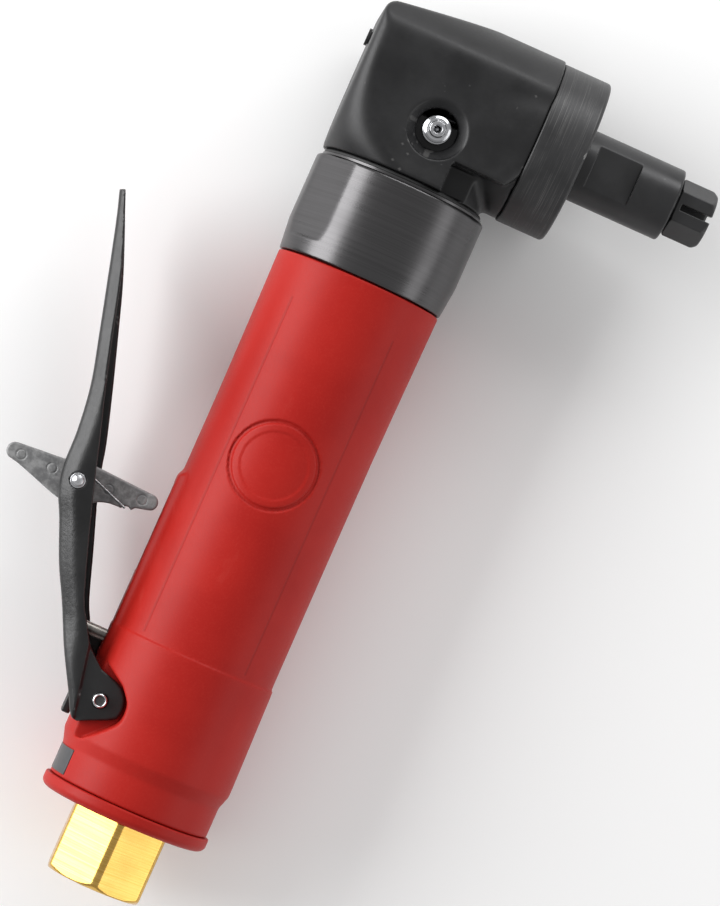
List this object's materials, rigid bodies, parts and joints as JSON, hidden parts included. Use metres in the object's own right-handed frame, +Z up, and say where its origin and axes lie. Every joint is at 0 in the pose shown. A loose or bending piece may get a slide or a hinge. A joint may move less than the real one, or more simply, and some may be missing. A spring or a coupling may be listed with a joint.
{
  "type": "right-angle pneumatic die grinder",
  "caption": "Hand-held right-angle air die grinder: red tubular grip, side throttle lever with lock-off tab, brass hex air inlet, black angle head and slotted collet.",
  "frame": {"origin": "centre of the air inlet's mouth, on the axis of the grip", "axes": "+Y along the grip from the air inlet to the angle head, +X out along the spindle towards the collet, +Z up with the tool lying on its side"},
  "size_m": [0.1081, 0.185, 0.0354],
  "materials": {
    "grip_red": "satin moulded composite",
    "brass": "turned and milled",
    "black_steel": "blackened satin",
    "gunmetal": "turned satin",
    "cast_grey": "die cast",
    "steel": "ground",
    "rubber": "matt",
    "felt": "felt",
    "label_dark": "satin foil",
    "vane": "laminated"
  },
  "bodies": {
    "housing": {"inlet_bushing": "brass", "inlet_screen": "steel", "inlet_oring": "rubber", "exhaust_cap": "grip_red", "exhaust_muffler": "felt", "grip_housing": "grip_red", "info_label": "label_dark", "clamp_nut": "gunmetal", "nut_retaining_ring": "steel", "nut_washer": "steel", "head_oring": "rubber", "angle_head": "black_steel", "grease_fitting": "steel", "grease_check_ball": "steel", "head_plug": "rubber", "bearing_cap": "black_steel", "spindle_seal": "rubber", "motor_cylinder": "steel", "rear_end_plate": "gunmetal", "front_end_plate": "gunmetal", "cylinder_pin": "steel", "motor_spacer": "steel", "wave_washer": "steel", "rear_bearing_outer_race": "steel", "rear_bearing_balls": "steel", "front_bearing_outer_race": "steel", "front_bearing_balls": "steel", "pinion_bearing_outer_race": "steel", "pinion_bearing_balls": "steel", "spindle_bearing_outer_race": "steel", "spindle_bearing_balls": "steel", "spindle_rear_bush": "brass", "lever_pin": "steel", "valve_pin_bush": "brass", "valve_pin_oring": "rubber", "valve_spring": "steel"},
    "rotor": {"rotor": "steel", "rotor_vanes": "vane", "bevel_pinion": "gunmetal", "rear_bearing_inner_race": "steel", "front_bearing_inner_race": "steel", "pinion_bearing_inner_race": "steel"},
    "spindle": {"spindle": "black_steel", "bevel_gear": "gunmetal", "gear_nut": "steel", "spindle_bearing_inner_race": "steel"},
    "collet": {"collet": "black_steel"},
    "throttle_lever": {"throttle_lever": "black_steel", "lock_pin": "steel"},
    "lock_lever": {"lock_lever": "cast_grey", "lock_spring": "steel"},
    "valve_pin": {"valve_pin": "steel"},
    "tip_valve": {"tip_valve": "steel", "valve_face": "rubber"}
  },
  "joints": [
    {"name": "throttle_press", "type": "hinge", "parent": "housing", "child": "throttle_lever", "pos_m": [-0.0134, 0.034, 0], "axis": [0, 0, -1], "range_deg": [0, 12], "stiffness_Nm_per_rad": 0.6, "springref_deg": -8.59},
    {"name": "lock_fold", "type": "hinge", "parent": "throttle_lever", "child": "lock_lever", "pos_m": [-0.0345, 0.0711, 0], "axis": [0, 0, -1], "range_deg": [0, 70], "deforming": ["lock_spring"]},
    {"name": "valve_pin_travel", "type": "slide", "parent": "housing", "child": "valve_pin", "axis": [1, 0, 0], "range_m": [0, 0.0034]},
    {"name": "valve_tilt", "type": "hinge", "parent": "housing", "child": "tip_valve", "pos_m": [-0.0052, 0.03795, 0], "axis": [0, 0, -1], "range_deg": [0, 17.5], "deforming": ["valve_spring"]},
    {"name": "rotor_spin", "type": "hinge", "parent": "housing", "child": "rotor", "pos_m": [0, 0, 0], "axis": [0, 1, 0], "continuous": true},
    {"name": "spindle_spin", "type": "hinge", "parent": "housing", "child": "spindle", "pos_m": [0, 0.16775, 0], "axis": [1, 0, 0], "continuous": true},
    {"name": "collet_turn", "type": "hinge", "parent": "spindle", "child": "collet", "pos_m": [0.05, 0.16775, 0], "axis": [1, 0, 0], "range_deg": [0, 90]}
  ],
  "couplings": [
    {"joint": "lock_fold", "follows": "throttle_press", "ratio": 5.75},
    {"joint": "valve_pin_travel", "follows": "throttle_press", "m_per_rad": 0.0158},
    {"joint": "valve_tilt", "follows": "throttle_press", "ratio": 1.43},
    {"joint": "spindle_spin", "follows": "rotor_spin", "ratio": 0.66667}
  ]
}
